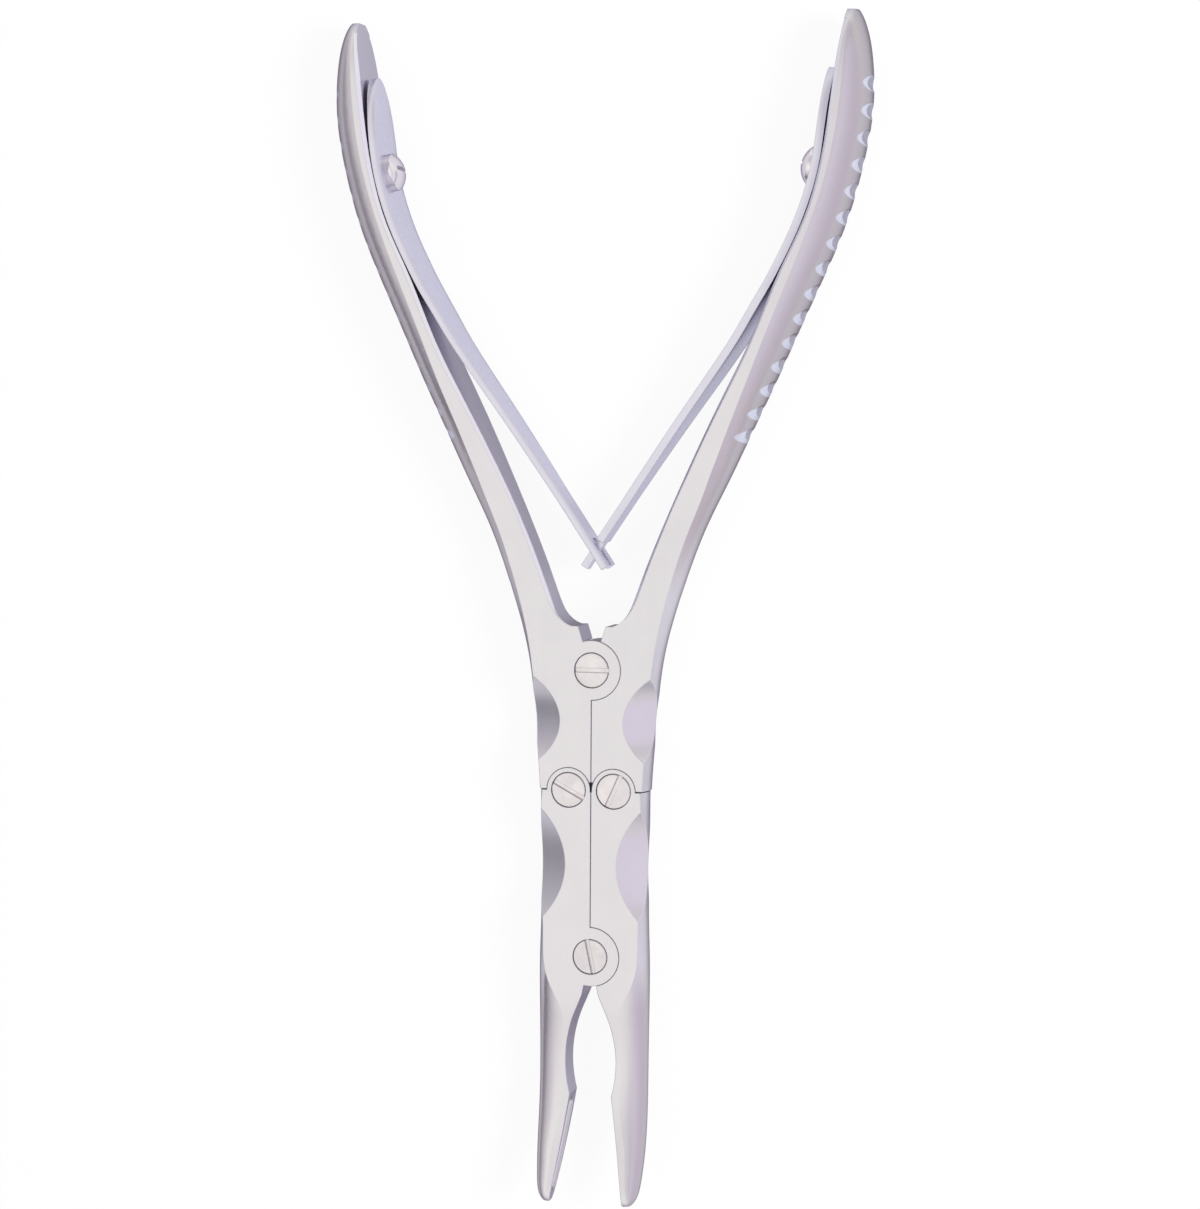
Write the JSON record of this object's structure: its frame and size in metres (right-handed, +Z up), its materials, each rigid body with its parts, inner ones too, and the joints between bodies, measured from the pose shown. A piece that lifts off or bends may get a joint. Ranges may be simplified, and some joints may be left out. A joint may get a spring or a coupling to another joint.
{
  "type": "bone rongeur",
  "caption": "Double-action bone rongeur lying open, with boxed lap joints, cupped jaws curved slightly forward and a fork-and-tongue leaf spring pair.",
  "frame": {"origin": "centre of the tool's outline, on the surface that the flat of it faces when it lies open", "axes": "+Y along the tool towards the grips, +X to the right seen from the screw heads, +Z up out of the face with the screw heads"},
  "size_m": [0.0848, 0.1832, 0.0107],
  "materials": {
    "satin_steel": "satin, fine lengthwise grain",
    "spring_steel": "smooth satin spring strip",
    "screw_steel": "satin, turned"
  },
  "bodies": {
    "left_handle": {"left_handle": "satin_steel", "left_spring": "spring_steel", "left_spring_screw": "screw_steel", "left_link_screw": "screw_steel"},
    "right_handle": {"right_handle": "satin_steel", "right_spring": "spring_steel", "right_spring_screw": "screw_steel", "right_link_screw": "screw_steel", "handle_pivot_screw": "screw_steel"},
    "left_jaw": {"left_jaw": "satin_steel"},
    "right_jaw": {"right_jaw": "satin_steel", "jaw_pivot_screw": "screw_steel"}
  },
  "joints": [
    {"name": "handle_pivot", "type": "hinge", "parent": "left_handle", "child": "right_handle", "pos_m": [0, -0.0084, 0.00535], "axis": [0, 0, 1], "range_deg": [0, 24.4], "stiffness_Nm_per_rad": 2.5, "springref_deg": -11.46, "deforming": ["left_spring", "right_spring"]},
    {"name": "left_link_pivot", "type": "hinge", "parent": "left_handle", "child": "left_jaw", "pos_m": [-0.0036, -0.0271, 0.00535], "axis": [0, 0, 1], "range_deg": [0, 20.85]},
    {"name": "right_link_pivot", "type": "hinge", "parent": "right_handle", "child": "right_jaw", "pos_m": [0.0036, -0.0271, 0.00535], "axis": [0, 0, 1], "range_deg": [-20.85, 0]}
  ],
  "couplings": [
    {"joint": "left_link_pivot", "follows": "handle_pivot", "ratio": 0.85461},
    {"joint": "right_link_pivot", "follows": "handle_pivot", "ratio": -0.85461}
  ]
}
